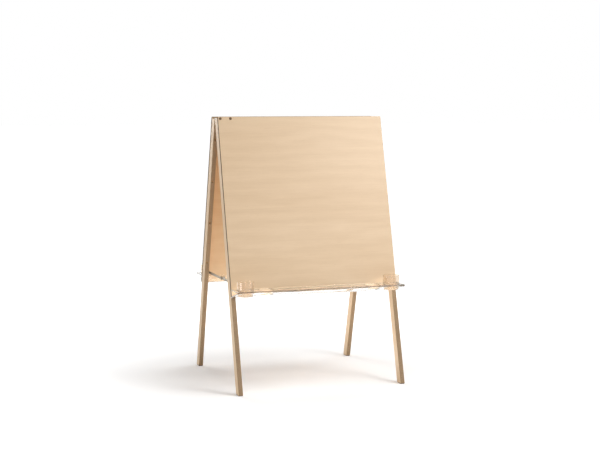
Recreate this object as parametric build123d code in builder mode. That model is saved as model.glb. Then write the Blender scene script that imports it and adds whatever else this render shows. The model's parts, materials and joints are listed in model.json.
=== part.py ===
"""Double-sided art easel: two leaning frames hinged along the top, each with a plywood
panel, a clear tray and two paint pots, held open by a folding stay on either side."""
from build123d import *
from math import cos, radians, sin, tan
import os

# Overall sizes
overall_height = 1143.0  # floor to the panels' top outer edges
lean_angle = 15.0  # each frame leans this far from upright
panel_width = 744.0
panel_height = 768.0  # measured down the slope
panel_thickness = 12.0
panel_corner_radius = 3.0
panel_edge_radius = 1.0

# Legs, top rails and feet
leg_width = 20.0
leg_depth = 38.0
leg_edge_radius = 1.5
rail_height = 45.0
rail_edge_radius = 1.5
foot_thickness = 3.0
foot_inset = 1.0
foot_edge_radius = 0.8

# Dowels that join a rail to its legs
dowel_radius = 4.0
dowel_length = 30.0
dowel_in_leg = 12.0
dowel_depths = (21.0, 36.0)  # below the rail's top
dowel_clearance = 0.05
dowel_end_room = 1.0

# Butt hinges between the two frames' inner faces
leaf_thickness = 2.0
leaf_width = 62.0
leaf_drop = 16.0  # below the legs' tops
leaf_gap = 0.6  # between the two leaves when the easel is folded
leaf_corner_radius = 2.0
knuckle_count = 5
knuckle_radius = 3.3
knuckle_gap = 0.3
knuckle_rise = 4.0  # hinge axis above the legs' tops
hinge_pin_radius = 1.6
hinge_pin_clearance = 0.05
hinge_from_edge = 32.5  # hinge centre to the panel's side edge
fixing_spacing = 45.0
fixing_drop = 8.0  # fixings below the legs' tops
fixing_clearance = 0.05

# Through bolts of one leaf on each side, with dark caps on the panel
bolt_radius = 2.5
bolt_cap_radius = 5.5
bolt_cap_height = 2.4
bolt_cap_rounding = 1.2

# Countersunk wood screws of the other leaf
hinge_screw_radius = 1.9
hinge_screw_head_radius = 3.7
hinge_screw_length = 26.0

# Screws that hold the panel from behind
panel_screw_radius = 2.2
panel_screw_head_radius = 4.4
panel_screw_head_height = 3.0
panel_screw_sink = 7.0  # head recess in legs and rail
panel_screw_bite = 9.0  # thread length in the panel
panel_screw_pitch = 190.0
panel_screw_inset = 90.0
leg_screw_count = 4
rail_screw_spacing = 210.0
rail_screw_count = 3
screw_recess_clearance = 0.3

# Stays: on each side a front and a rear link of flat bar that meet at a middle rivet
stay_above_tray = 15.0  # pivots and rivet above the tray while the easel stands open
stay_link_height = 10.0
stay_link_thickness = 3.0
stay_end_radius = 8.0
stay_edge_radius = 0.6
stay_side_clearance = 0.25
stay_pivot_clearance = 0.08
rear_washer_thickness = 2.0
stay_washer_radius = 7.5
stay_screw_radius = 3.0
stay_screw_bite = 14.0  # length in the leg
stay_screw_head_radius = 6.0
stay_screw_head_height = 3.0
stay_screw_head_rounding = 1.2
rivet_radius = 2.5
rivet_head_radius = 4.5
rivet_head_height = 1.8
rivet_head_rounding = 1.0
rivet_tail_height = 0.8

# Trays, each bent from one clear sheet
tray_sheet = 4.0
tray_above_edge = 29.8  # shelf above the panel's outer bottom edge
tray_depth = 94.7  # panel to the tray's front edge
tray_lip = 9.0
tray_bend_radius = 3.0
tray_hook_height = 30.0  # turned up behind the panel
tray_leg_clearance = 2.0
tray_screw_spacing = 180.0
tray_screw_count = 4
tray_screw_radius = 2.0
tray_screw_head_radius = 4.2
tray_screw_head_height = 2.4
tray_screw_bite = 8.0
tray_screw_height = 18.0  # above the panel's bottom edge
pick_tolerance = 0.1  # for choosing the nose's edges by their reach

# Pots and the holes that they stand in
pot_hole_clearance = 0.4
pot_from_front = 42.0  # pot centre to the tray's front edge
pot_from_end = 46.0
hole_pitch = 89.0
pot_rim_radius = 36.0
pot_shoulder_radius = 35.4
pot_neck_radius = 33.0  # just below the shoulder
pot_base_radius = 32.0
pot_above_tray = 37.0
pot_below_tray = 25.0
pot_wall = 1.6
pot_floor = 2.0
pot_rim_rounding = 0.7
pot_base_rounding = 1.5

# Places worked out from the sizes above. On each frame x runs across, v up the slope
# from the hinge axis, and w outwards from it.
lean = radians(lean_angle)
inner_w = leaf_thickness + leaf_gap / 2
outer_w = inner_w + leg_depth
face_w = outer_w + panel_thickness
top_v = -knuckle_rise
bottom_v = top_v - panel_height
mid_depth_w = inner_w + leg_depth / 2
axis_z = overall_height - top_v * cos(lean) - face_w * sin(lean)
half_width = panel_width / 2
tray_top = overall_height - panel_height * cos(lean) + tray_above_edge
leg_x = half_width - leg_width / 2
leg_inner_x = half_width - leg_width
pot_hole_radius = pot_neck_radius + pot_hole_clearance
pot_x = half_width - pot_from_end
spare_hole_x = pot_x - hole_pitch
stay_height = tray_top + stay_above_tray
hinge_x = half_width - hinge_from_edge
# The front links run one layer further in than the rear links
front_washer_thickness = rear_washer_thickness + stay_link_thickness + stay_side_clearance


def face_plane(outward, w=0.0):
    """Plane across one frame, w outwards from the hinge axis; outward is -1 at the front."""
    plane = Plane(origin=(0, 0, axis_z), x_dir=(-outward, 0, 0),
                  z_dir=(0, outward * cos(lean), sin(lean)))
    return plane.offset(w)


def section_plane(outward):
    """Upright plane through the middle: x is the reach outwards, y the height."""
    return Plane(origin=(0, 0, 0), x_dir=(0, outward, 0), z_dir=(outward, 0, 0))


def section_point(v, w):
    """Reach and height of a point at v and w on a frame."""
    return (w * cos(lean) - v * sin(lean), axis_z + v * cos(lean) + w * sin(lean))


def reach_at(z, w):
    """Reach of the sloping plane w at height z."""
    return w / cos(lean) - (z - axis_z) * tan(lean)


def slope_position(z, w):
    """Position v on the sloping plane w at height z."""
    return (z - axis_z - w * sin(lean)) / cos(lean)


def drill(outward, places, w, depth, radius):
    """Round holes into the frame piece being built, from plane w outwards."""
    with BuildSketch(face_plane(outward, w)) as holes:
        with Locations(*places):
            Circle(radius)
    extrude(holes.sketch, amount=depth, mode=Mode.SUBTRACT)


def outward_axis(outward):
    """Axis square to one frame."""
    return Axis((0, 0, axis_z), (0, outward * cos(lean), sin(lean)))


def slope_edges(part, outward):
    """Edges of a part that run up the slope."""
    return part.edges().filter_by(Axis((0, 0, 0), (0, -outward * sin(lean), cos(lean))))


def finish(part, name):
    """Label a piece and write it."""
    part.label = name
    export_step(part, f"parts/{name}.step")


def leg_screw_places(x):
    """Panel screws along one leg."""
    return [(x, top_v - panel_screw_inset - i * panel_screw_pitch) for i in range(leg_screw_count)]


def rail_screw_places():
    """Panel screws along the top rail."""
    start = -(rail_screw_count - 1) / 2 * rail_screw_spacing
    v = top_v - rail_height / 2
    return [(start + i * rail_screw_spacing, v) for i in range(rail_screw_count)]


def fixing_places(x):
    """Hinge fixings of the leaf centred at x."""
    return [(x + side * fixing_spacing / 2, top_v - fixing_drop) for side in (-1, 1)]


def tray_screw_places():
    """Screws through the tray's hook into the panel's back."""
    start = -(tray_screw_count - 1) / 2 * tray_screw_spacing
    v = bottom_v + tray_screw_height
    return [(start + i * tray_screw_spacing, v) for i in range(tray_screw_count)]


def cut_panel_screw_recesses(outward, places):
    """Shank holes with head recesses, from the inner face of a leg or rail."""
    shank = panel_screw_radius + fixing_clearance
    drill(outward, places, inner_w, leg_depth, shank)
    drill(outward, places, inner_w, panel_screw_sink, panel_screw_head_radius + screw_recess_clearance)


def cut_hinge_fixings(outward):
    """Bolt holes at the left leaf and screw holes at the right one, in a leg or rail."""
    drill(outward, fixing_places(-hinge_x), inner_w, leg_depth, bolt_radius + fixing_clearance)
    screw_hole = hinge_screw_radius + fixing_clearance
    drill(outward, fixing_places(hinge_x), inner_w, hinge_screw_length, screw_hole)


def make_panel(side, outward):
    """Plywood panel."""
    with BuildPart() as panel:
        with BuildSketch(face_plane(outward, outer_w)):
            with Locations((0, (top_v + bottom_v) / 2)):
                RectangleRounded(panel_width, panel_height, panel_corner_radius)
        extrude(amount=panel_thickness)
        outer_face = panel.faces().sort_by(outward_axis(outward))[-1]
        fillet(outer_face.edges(), panel_edge_radius)
        drill(outward, fixing_places(-hinge_x), outer_w, panel_thickness, bolt_radius + fixing_clearance)
        screws = leg_screw_places(-leg_x) + leg_screw_places(leg_x) + rail_screw_places()
        drill(outward, screws, outer_w, panel_screw_bite, panel_screw_radius + fixing_clearance)
        drill(outward, tray_screw_places(), outer_w, tray_screw_bite, tray_screw_radius + fixing_clearance)
    finish(panel.part, f"{side}_panel")


def make_leg(side, outward, hand, name):
    """One leg, square-cut at the top and cut level above its foot."""
    x = hand * leg_x
    foot_v = slope_position(0, inner_w) - leg_depth
    with BuildPart() as leg:
        with BuildSketch(face_plane(outward, inner_w)):
            with Locations((x, (top_v + foot_v) / 2)):
                Rectangle(leg_width, top_v - foot_v)
        extrude(amount=leg_depth)
        split(bisect_by=Plane.XY.offset(foot_thickness), keep=Keep.TOP)
        fillet(slope_edges(leg, outward), leg_edge_radius)
        cut_panel_screw_recesses(outward, leg_screw_places(x))
        cut_hinge_fixings(outward)
        with BuildSketch(Plane.YZ.offset(-outward * hand * (leg_inner_x - dowel_end_room / 2))):
            for v in dowel_depths:
                reach, height = section_point(top_v - v, mid_depth_w)
                with Locations((outward * reach, height)):
                    Circle(dowel_radius + dowel_clearance)
        extrude(amount=-outward * hand * (dowel_in_leg + dowel_end_room), mode=Mode.SUBTRACT)
        with BuildSketch(Plane.YZ.offset(-outward * hand * leg_inner_x)):
            with Locations((outward * stay_reach, stay_height)):
                Circle(stay_screw_radius + fixing_clearance)
        extrude(amount=-outward * hand * stay_screw_bite, mode=Mode.SUBTRACT)
    finish(leg.part, f"{side}_{name}_leg")


def make_rail(side, outward):
    """Top rail between the legs, behind the panel."""
    with BuildPart() as rail:
        with BuildSketch(face_plane(outward, inner_w)):
            with Locations((0, top_v - rail_height / 2)):
                Rectangle(2 * leg_inner_x, rail_height)
        extrude(amount=leg_depth)
        fillet(rail.edges().filter_by(Axis.X), rail_edge_radius)
        cut_panel_screw_recesses(outward, rail_screw_places())
        cut_hinge_fixings(outward)
        for hand in (-1, 1):
            with BuildSketch(Plane.YZ.offset(hand * leg_inner_x)):
                for v in dowel_depths:
                    reach, height = section_point(top_v - v, mid_depth_w)
                    with Locations((outward * reach, height)):
                        Circle(dowel_radius + dowel_clearance)
            depth = dowel_length - dowel_in_leg + dowel_end_room
            extrude(amount=-hand * depth, mode=Mode.SUBTRACT)
    finish(rail.part, f"{side}_top_rail")


def make_dowels(side, outward):
    """Wooden dowels between the rail and its legs."""
    with BuildPart() as dowels:
        for hand in (-1, 1):
            with BuildSketch(Plane.YZ.offset(hand * (leg_inner_x + dowel_in_leg))):
                for v in dowel_depths:
                    reach, height = section_point(top_v - v, mid_depth_w)
                    with Locations((outward * reach, height)):
                        Circle(dowel_radius)
            extrude(amount=-hand * dowel_length)
    finish(dowels.part, f"{side}_rail_dowels")


def make_panel_screws(side, outward):
    """Screws from behind through the legs and the rail into the panel."""
    places = leg_screw_places(-leg_x) + leg_screw_places(leg_x) + rail_screw_places()
    head_w = inner_w + panel_screw_sink - panel_screw_head_height
    length = outer_w + panel_screw_bite - inner_w - panel_screw_sink
    with BuildPart() as screws:
        with BuildSketch(face_plane(outward, head_w)):
            with Locations(*places):
                Circle(panel_screw_head_radius)
        extrude(amount=panel_screw_head_height)
        with BuildSketch(face_plane(outward, inner_w + panel_screw_sink)):
            with Locations(*places):
                Circle(panel_screw_radius)
        extrude(amount=length)
    finish(screws.part, f"{side}_panel_screws")


def make_hinge_bolts(side, outward):
    """Through bolts with rounded caps that show on the panel."""
    places = fixing_places(-hinge_x)
    with BuildPart() as bolts:
        with BuildSketch(face_plane(outward, face_w)):
            with Locations(*places):
                Circle(bolt_cap_radius)
        extrude(amount=bolt_cap_height)
        caps = bolts.faces().sort_by(outward_axis(outward))[-len(places):]
        fillet(caps.edges(), bolt_cap_rounding)
        with BuildSketch(face_plane(outward, leaf_gap / 2)):
            with Locations(*places):
                Circle(bolt_radius)
        extrude(amount=face_w - leaf_gap / 2)
    finish(bolts.part, f"{side}_hinge_bolts")


def make_hinge_screws(side, outward):
    """Countersunk screws of the leaf without bolts."""
    with BuildPart() as screws:
        for x, v in fixing_places(hinge_x):
            with BuildSketch(face_plane(outward, leaf_gap / 2)):
                with Locations((x, v)):
                    Circle(hinge_screw_head_radius)
            with BuildSketch(face_plane(outward, inner_w)):
                with Locations((x, v)):
                    Circle(hinge_screw_radius)
            loft()
        with BuildSketch(face_plane(outward, inner_w)):
            with Locations(*fixing_places(hinge_x)):
                Circle(hinge_screw_radius)
        extrude(amount=hinge_screw_length)
    finish(screws.part, f"{side}_hinge_screws")


def knuckle_span(index):
    """Start and length of one knuckle along the leaf, from its centre."""
    pitch = leaf_width / knuckle_count
    return -leaf_width / 2 + index * pitch + knuckle_gap / 2, pitch - knuckle_gap


def make_leaf(name, outward, hand, own_first):
    """Hinge leaf on a frame's inner face; own_first says whether it has the end knuckles."""
    x = hand * hinge_x
    bolted = hand * outward > 0
    local_x = -outward * x
    fixings = fixing_places(local_x)
    with BuildPart() as leaf:
        with BuildSketch(face_plane(outward, leaf_gap / 2)):
            with Locations((local_x, (top_v - leaf_drop) / 2)):
                Rectangle(leaf_width - knuckle_gap, leaf_drop - top_v)
        extrude(amount=leaf_thickness)
        corners = leaf.edges().filter_by(outward_axis(outward))
        fillet(corners.group_by(Axis.Z)[0], leaf_corner_radius)
        for index in range(knuckle_count):
            start, length = knuckle_span(index)
            own = (index % 2 == 0) == own_first
            with BuildSketch(Plane.YZ.offset(x + start - (0 if own else knuckle_gap))):
                with Locations((0, axis_z)):
                    Circle(knuckle_radius if own else knuckle_radius + knuckle_gap)
            extrude(amount=length if own else length + 2 * knuckle_gap,
                    mode=Mode.ADD if own else Mode.SUBTRACT)
        with BuildSketch(Plane.YZ.offset(x)):
            with Locations((0, axis_z)):
                Circle(hinge_pin_radius + hinge_pin_clearance)
        extrude(amount=leaf_width, both=True, mode=Mode.SUBTRACT)
        if bolted:
            drill(outward, fixings, leaf_gap / 2, leaf_thickness, bolt_radius + fixing_clearance)
        else:
            for fixing in fixings:
                with BuildSketch(face_plane(outward, leaf_gap / 2)):
                    with Locations(fixing):
                        Circle(hinge_screw_head_radius + fixing_clearance)
                with BuildSketch(face_plane(outward, inner_w)):
                    with Locations(fixing):
                        Circle(hinge_screw_radius + fixing_clearance)
                loft(mode=Mode.SUBTRACT)
    finish(leaf.part, name)


def make_hinge_pin(name, hand):
    """Pin through the knuckles of one hinge."""
    with BuildPart() as pin:
        with BuildSketch(Plane.YZ.offset(hand * hinge_x)):
            with Locations((0, axis_z)):
                Circle(hinge_pin_radius)
        extrude(amount=leaf_width / 2, both=True)
    finish(pin.part, name)


def make_foot(side, outward, hand, name):
    """Thin pad under a leg."""
    inner, outer = reach_at(foot_thickness, inner_w), reach_at(foot_thickness, outer_w)
    with BuildPart() as foot:
        with BuildSketch(Plane.XY):
            with Locations((-outward * hand * leg_x, outward * (inner + outer) / 2)):
                RectangleRounded(leg_width - 2 * foot_inset, outer - inner - 2 * foot_inset, leg_edge_radius)
        extrude(amount=foot_thickness)
        fillet(foot.edges().group_by(Axis.Z)[0], foot_edge_radius)
    finish(foot.part, f"{side}_{name}_foot")


def make_tray(side, outward):
    """Clear sheet bent into a shelf, a front lip and a sloping return, hooked under the panel."""
    shelf_back = (panel_reach, tray_top)
    nose_top = (tray_reach, tray_top)
    nose_bottom = (tray_reach, tray_top - tray_lip)
    heel = section_point(bottom_v - tray_sheet, face_w)
    hook = [
        heel,
        section_point(bottom_v - tray_sheet, outer_w - tray_sheet),
        section_point(bottom_v + tray_hook_height, outer_w - tray_sheet),
        section_point(bottom_v + tray_hook_height, outer_w),
        section_point(bottom_v, outer_w),
        section_point(bottom_v, face_w),
    ]
    with BuildPart() as tray:
        with BuildSketch(section_plane(outward)):
            with BuildLine():
                Polyline(shelf_back, nose_top, nose_bottom, heel, close=True)
            make_face()
            offset(amount=-tray_sheet, kind=Kind.INTERSECTION, mode=Mode.SUBTRACT)
            with BuildLine():
                Polyline(*hook, close=True)
            make_face()
        extrude(amount=half_width, both=True)
        nose = tray.edges().filter_by(Axis.X).filter_by(
            lambda edge: abs(abs(edge.center().Y) - tray_reach) < pick_tolerance)
        fillet(nose, tray_bend_radius)
        notch_v = bottom_v + (tray_hook_height - tray_sheet) / 2
        notch_height = tray_hook_height + tray_sheet + 2 * tray_leg_clearance
        with BuildSketch(face_plane(outward, inner_w)):
            with Locations((-half_width, notch_v), (half_width, notch_v)):
                Rectangle(2 * (leg_width + tray_leg_clearance), notch_height)
        extrude(amount=leg_depth, mode=Mode.SUBTRACT)
        with BuildSketch(Plane.XY.offset(tray_top)):
            with Locations(*[(x, outward * pot_centre_reach) for x in
                             (-pot_x, -spare_hole_x, spare_hole_x, pot_x)]):
                Circle(pot_hole_radius)
        extrude(amount=-tray_depth, mode=Mode.SUBTRACT)
        drill(outward, tray_screw_places(), outer_w - tray_sheet, tray_sheet,
              tray_screw_radius + fixing_clearance)
    finish(tray.part, f"{side}_tray")


def make_tray_screws(side, outward):
    """Round-headed screws through the tray's hook into the panel's back."""
    places = tray_screw_places()
    seat_w = outer_w - tray_sheet
    with BuildPart() as screws:
        with BuildSketch(face_plane(outward, seat_w - tray_screw_head_height)):
            with Locations(*places):
                Circle(tray_screw_head_radius)
        extrude(amount=tray_screw_head_height)
        with BuildSketch(face_plane(outward, seat_w)):
            with Locations(*places):
                Circle(tray_screw_radius)
        extrude(amount=tray_sheet + tray_screw_bite)
    finish(screws.part, f"{side}_tray_screws")


def make_pot(side, outward, hand, name):
    """Open pot with a shoulder that rests on the tray round its hole."""
    x, y = -outward * hand * pot_x, outward * pot_centre_reach
    rim = tray_top + pot_above_tray
    base = tray_top - pot_below_tray
    with BuildPart() as pot:
        with BuildSketch(Plane(origin=(x, y, 0), x_dir=(1, 0, 0), z_dir=(0, -1, 0))):
            with BuildLine():
                Polyline((0, base), (pot_base_radius, base), (pot_neck_radius, tray_top),
                         (pot_shoulder_radius, tray_top), (pot_rim_radius, rim),
                         (pot_rim_radius - pot_wall, rim),
                         (pot_shoulder_radius - pot_wall, tray_top + pot_wall),
                         (pot_neck_radius - pot_wall, tray_top),
                         (pot_base_radius - pot_wall, base + pot_floor),
                         (0, base + pot_floor), close=True)
            make_face()
        revolve(axis=Axis((x, y, 0), (0, 0, 1)))
        fillet(pot.edges().group_by(Axis.Z)[-1], pot_rim_rounding)
        fillet(pot.edges().group_by(Axis.Z)[0], pot_base_rounding)
    finish(pot.part, f"{side}_{name}_pot")


def washer_thickness(outward):
    """Thickness of the washer between a leg and its link."""
    return front_washer_thickness if outward < 0 else rear_washer_thickness


def link_face(outward):
    """Outer face of a link, across from the middle of the easel."""
    return leg_inner_x - washer_thickness(outward) - stay_side_clearance


def make_stay_link(name, hand, outward):
    """Flat link from a leg to the middle, where the front one has the rivet's hole."""
    with BuildPart() as link:
        with BuildSketch(Plane.YZ.offset(hand * link_face(outward))):
            with Locations((outward * stay_reach / 2, stay_height)):
                Rectangle(stay_reach, stay_link_height)
            with Locations((0, stay_height), (outward * stay_reach, stay_height)):
                Circle(stay_end_radius)
        extrude(amount=-hand * stay_link_thickness)
        fillet(link.faces().filter_by(Plane.YZ).edges(), stay_edge_radius)
        with BuildSketch(Plane.YZ.offset(hand * link_face(outward))):
            with Locations((outward * stay_reach, stay_height)):
                Circle(stay_screw_radius + stay_pivot_clearance)
            if outward < 0:
                with Locations((0, stay_height)):
                    Circle(rivet_radius + fixing_clearance)
        extrude(amount=-hand * stay_link_thickness, mode=Mode.SUBTRACT)
        if outward > 0:
            with BuildSketch(Plane.YZ.offset(hand * link_face(outward))):
                with Locations((0, stay_height)):
                    Circle(rivet_radius)
            extrude(amount=hand * rivet_tail_height)
    finish(link.part, name)


def make_stay_rivet(name, hand):
    """Rivet in the front link's middle end."""
    inner_face = link_face(-1) - stay_link_thickness
    with BuildPart() as rivet:
        with BuildSketch(Plane.YZ.offset(hand * link_face(-1))):
            with Locations((0, stay_height)):
                Circle(rivet_radius)
        extrude(amount=-hand * stay_link_thickness)
        with BuildSketch(Plane.YZ.offset(hand * inner_face)):
            with Locations((0, stay_height)):
                Circle(rivet_head_radius)
        extrude(amount=-hand * rivet_head_height)
        crown = rivet.faces().sort_by(Axis.X)[0 if hand > 0 else -1]
        fillet(crown.edges(), rivet_head_rounding)
    finish(rivet.part, name)


def make_stay_pivot(name, hand, outward):
    """Shouldered screw in a leg's inner side that a link turns on."""
    head_x = link_face(outward) - stay_link_thickness - stay_side_clearance
    place = (outward * stay_reach, stay_height)
    with BuildPart() as screw:
        with BuildSketch(Plane.YZ.offset(hand * (leg_inner_x + stay_screw_bite))):
            with Locations(place):
                Circle(stay_screw_radius)
        extrude(amount=-hand * (leg_inner_x + stay_screw_bite - head_x))
        with BuildSketch(Plane.YZ.offset(hand * head_x)):
            with Locations(place):
                Circle(stay_screw_head_radius)
        extrude(amount=-hand * stay_screw_head_height)
        crown = screw.faces().sort_by(Axis.X)[0 if hand > 0 else -1]
        fillet(crown.edges(), stay_screw_head_rounding)
    finish(screw.part, name)


def make_stay_washers(side, outward):
    """Washers between the legs and the links."""
    with BuildPart() as washers:
        for hand in (-1, 1):
            with BuildSketch(Plane.YZ.offset(hand * leg_inner_x)):
                with Locations((outward * stay_reach, stay_height)):
                    Circle(stay_washer_radius)
                    Circle(stay_screw_radius + fixing_clearance, mode=Mode.SUBTRACT)
            extrude(amount=-hand * washer_thickness(outward))
    finish(washers.part, f"{side}_stay_washers")


panel_reach = reach_at(tray_top, face_w)
tray_reach = panel_reach + tray_depth
pot_centre_reach = tray_reach - pot_from_front
stay_reach = reach_at(stay_height, mid_depth_w)  # a link's length between its centres

os.makedirs("parts", exist_ok=True)

for side, outward in (("front", -1), ("rear", 1)):
    make_panel(side, outward)
    make_rail(side, outward)
    make_dowels(side, outward)
    make_panel_screws(side, outward)
    make_hinge_bolts(side, outward)
    make_hinge_screws(side, outward)
    make_tray(side, outward)
    make_tray_screws(side, outward)
    make_stay_washers(side, outward)
    # Local left is the easel's left at the front and its right at the rear
    for hand in (-1, 1):
        name = "left" if -outward * hand < 0 else "right"
        make_leg(side, outward, hand, name)
        make_foot(side, outward, hand, name)
        make_pot(side, outward, hand, name)

for hand, name in ((-1, "left"), (1, "right")):
    make_leaf(f"{name}_hinge_front_leaf", -1, hand, True)
    make_leaf(f"{name}_hinge_rear_leaf", 1, hand, False)
    make_hinge_pin(f"{name}_hinge_pin", hand)
    make_stay_rivet(f"{name}_stay_rivet", hand)
    for side, outward in (("front", -1), ("rear", 1)):
        make_stay_link(f"{name}_stay_{side}_link", hand, outward)
        make_stay_pivot(f"{name}_stay_{side}_pivot", hand, outward)
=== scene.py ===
import json
import math

import bmesh
import bpy
from bpy.props import FloatProperty, FloatVectorProperty, IntProperty, PointerProperty
from bpy.types import Operator, Panel, PropertyGroup
from mathutils import Matrix, Vector

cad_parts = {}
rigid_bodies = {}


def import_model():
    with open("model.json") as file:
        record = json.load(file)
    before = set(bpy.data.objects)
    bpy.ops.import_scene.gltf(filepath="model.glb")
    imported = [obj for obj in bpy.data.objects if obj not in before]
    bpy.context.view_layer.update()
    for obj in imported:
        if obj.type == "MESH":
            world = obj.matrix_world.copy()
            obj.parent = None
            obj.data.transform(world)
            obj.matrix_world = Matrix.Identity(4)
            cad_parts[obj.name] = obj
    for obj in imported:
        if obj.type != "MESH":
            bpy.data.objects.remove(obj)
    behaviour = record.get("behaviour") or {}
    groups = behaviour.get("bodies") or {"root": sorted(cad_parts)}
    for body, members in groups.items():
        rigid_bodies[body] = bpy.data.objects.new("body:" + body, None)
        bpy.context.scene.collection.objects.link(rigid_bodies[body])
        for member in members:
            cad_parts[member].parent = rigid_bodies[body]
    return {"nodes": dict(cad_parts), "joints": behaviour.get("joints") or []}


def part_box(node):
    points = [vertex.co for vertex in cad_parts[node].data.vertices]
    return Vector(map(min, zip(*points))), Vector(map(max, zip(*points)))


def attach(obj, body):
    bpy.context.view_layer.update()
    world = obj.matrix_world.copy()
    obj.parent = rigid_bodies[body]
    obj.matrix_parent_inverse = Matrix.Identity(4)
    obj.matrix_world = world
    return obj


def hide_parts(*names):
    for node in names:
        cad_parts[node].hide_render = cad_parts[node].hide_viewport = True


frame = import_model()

bl_info = {
    "name": "Double-sided art easel",
    "version": (1, 0, 0),
    "blender": (4, 5, 0),
    "location": "View3D > Sidebar > Easel",
    "description": "Finishes, clear trays, pots, screws and studio for a folding two-sided easel",
    "category": "Object",
}

MM = 0.001
SIDES = (("front", -1), ("rear", 1))  # each frame and the way it faces along Y
NODES = frame["nodes"]
FOLD = next(joint for joint in frame["joints"] if joint["name"] == "fold")
AXIS_Z = FOLD["pos_m"][2]
LEAN = math.radians(FOLD["range_deg"][1] / 2)
FRAME_BODY = {"front": FOLD["parent"], "rear": FOLD["child"]}
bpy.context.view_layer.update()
HALF_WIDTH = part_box("front_tray")[1].x
TRAY_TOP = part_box("front_tray")[1].z
TRAY_REACH = -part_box("front_tray")[0].y
WELD = 0.01 * MM  # points this near are one
SHARP = math.radians(30)  # an edge that turns more than this stays crisp
ARC_STEP = math.radians(7.5)  # longest step along a bend
ROUND = 96  # sides of a pot and of the large holes
SMALL_ROUND = 24  # sides of a screw hole
SCREW_ROUND = 40  # sides of a screw
HOLE_CUT = 90 * MM  # length of the cutters for a tray's large holes
POLISH_FROM = math.radians(50)  # edges that turn more than this are polished round

# Stretch of the veneer's layers, along the grain and across it.
CLOUD_STRETCH = (1.3, 4.5)
WAVE_STRETCH = (0.30, 1.0)
STREAK_STRETCH = (5, 120)
LINE_STRETCH = (9, 420)
PORE_STRETCH = (45, 1100)
FIGURE = {"cloud": 0.42, "wave": 0.10, "streak": 0.28, "line": 0.24}  # shares of the layers
FIGURE_SPAN = (0.36, 0.70)  # the part of the figure's range between dark and light
PORE_SPAN = (0.60, 0.80)  # the part of the pores' range between none and all of their tint
PORE_TINT = 0.16
PLY_WANDER = 0.25  # how far a ply wanders, in plies
EDGE_ROUGHNESS = 0.9
WOOD_RELIEF = 0.12 * MM
MID_NOISE = (0.3, 0.7)  # the part of a noise's range that makes a finish
SQUARE_ON = (0.6, 0.8)  # how squarely a face is turned, from none to all of its own finish
CUT_EDGE = (0.35, 0.6)  # the same away from a face, from all to none of the plies
SOFT_IOR = 1.08  # bends what is seen through thin plastic only a little
LIP_SHADE_REACH = (-6.0 * MM, -4.5 * MM)  # where the lip's painted dark reflection sets in, from the tray's front
LIP_SHADE_HEIGHT = (-7.5 * MM, -6.0 * MM)  # the same from the tray's top

# Sections of the screws' heads: radius and height in millimetres.
PAN_HEAD = ((4.2, 0), (4.2, 0.7), (4.0, 1.3), (3.4, 1.9), (2.4, 2.25), (1.2, 2.4))
PLUG_HEAD = ((4.4, 0), (4.4, 2.5), (4.0, 3.0))
SUNK_HEAD = ((3.7, 1.9), (3.6, 2.0))
# Each kind of screw: its head, and the radius and length of its shank in millimetres.
SCREWS = (
    ("tray", PAN_HEAD, 2.0, 12),
    ("panel", PLUG_HEAD, 2.2, 40),
    ("hinge", SUNK_HEAD, 1.9, 26),
)
SCREW_SPIN = math.radians(37)  # each screw's recess stands at another angle
# Shares of a shank's radius: its tip, the recess's depth, and the half length and half width
# of the recess's arms at the bottom and at the top of their cutter.
SCREW_TIP = 0.25
RECESS_DEPTH = 0.8
RECESS_LENGTH = (0.55, 1.1)
RECESS_WIDTH = (0.24, 0.30)
# Radii in millimetres of the bends along a pot's section, from its base over the rim to its floor.
POT_BENDS = (2.0, 0.3, 0.8, 0.2, 0.3, 0.7, 0.7, 0.8, 0.8, 1.5)

FLOOR_REACH = 60.0  # metres from the middle to each side of the floor
LIFT_SPAN = (0.5, 1.3)  # metres from the middle, from the near lift to the far lift
LIGHT_AIM = Vector((0, 0, 0.6))
# Each lamp: its kind, its place, its angle or its size in metres, and its strength's property.
LAMPS = {
    "top": ("SUN", (0.9, -0.3, 3.4), math.radians(45), "top_light"),
    "side": ("AREA", (1.3, -1.75, 2.0), 0.9, "side_light"),
    "low": ("AREA", (-2.0, -0.5, 0.15), 0.8, "low_light"),
    "front": ("AREA", (-1.6, -3.8, 0.35), 1.2, "front_light"),
    "back": ("AREA", (-1.0, 3.3, 1.8), 1.5, "back_light"),
    "under": ("AREA", (0, 0, 0.02), 0.5, "under_light"),
}


def length(name, default, description):
    """A length property, given in millimetres."""
    return FloatProperty(name=name, description=description, default=default * MM,
                         min=0.0, unit="LENGTH")


def colour(name, default, description):
    """A colour property, given as it shows on a screen and kept in linear values."""
    linear = [(c / 12.92 if c <= 0.04045 else ((c + 0.055) / 1.055) ** 2.4) for c in default]
    return FloatVectorProperty(name=name, description=description, default=linear,
                               size=3, min=0.0, max=1.0, subtype="COLOR")


def amount(name, default, description, unit="NONE"):
    """A number that is never below nought, such as the power of a light."""
    return FloatProperty(name=name, description=description, default=default, min=0.0, unit=unit)


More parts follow.
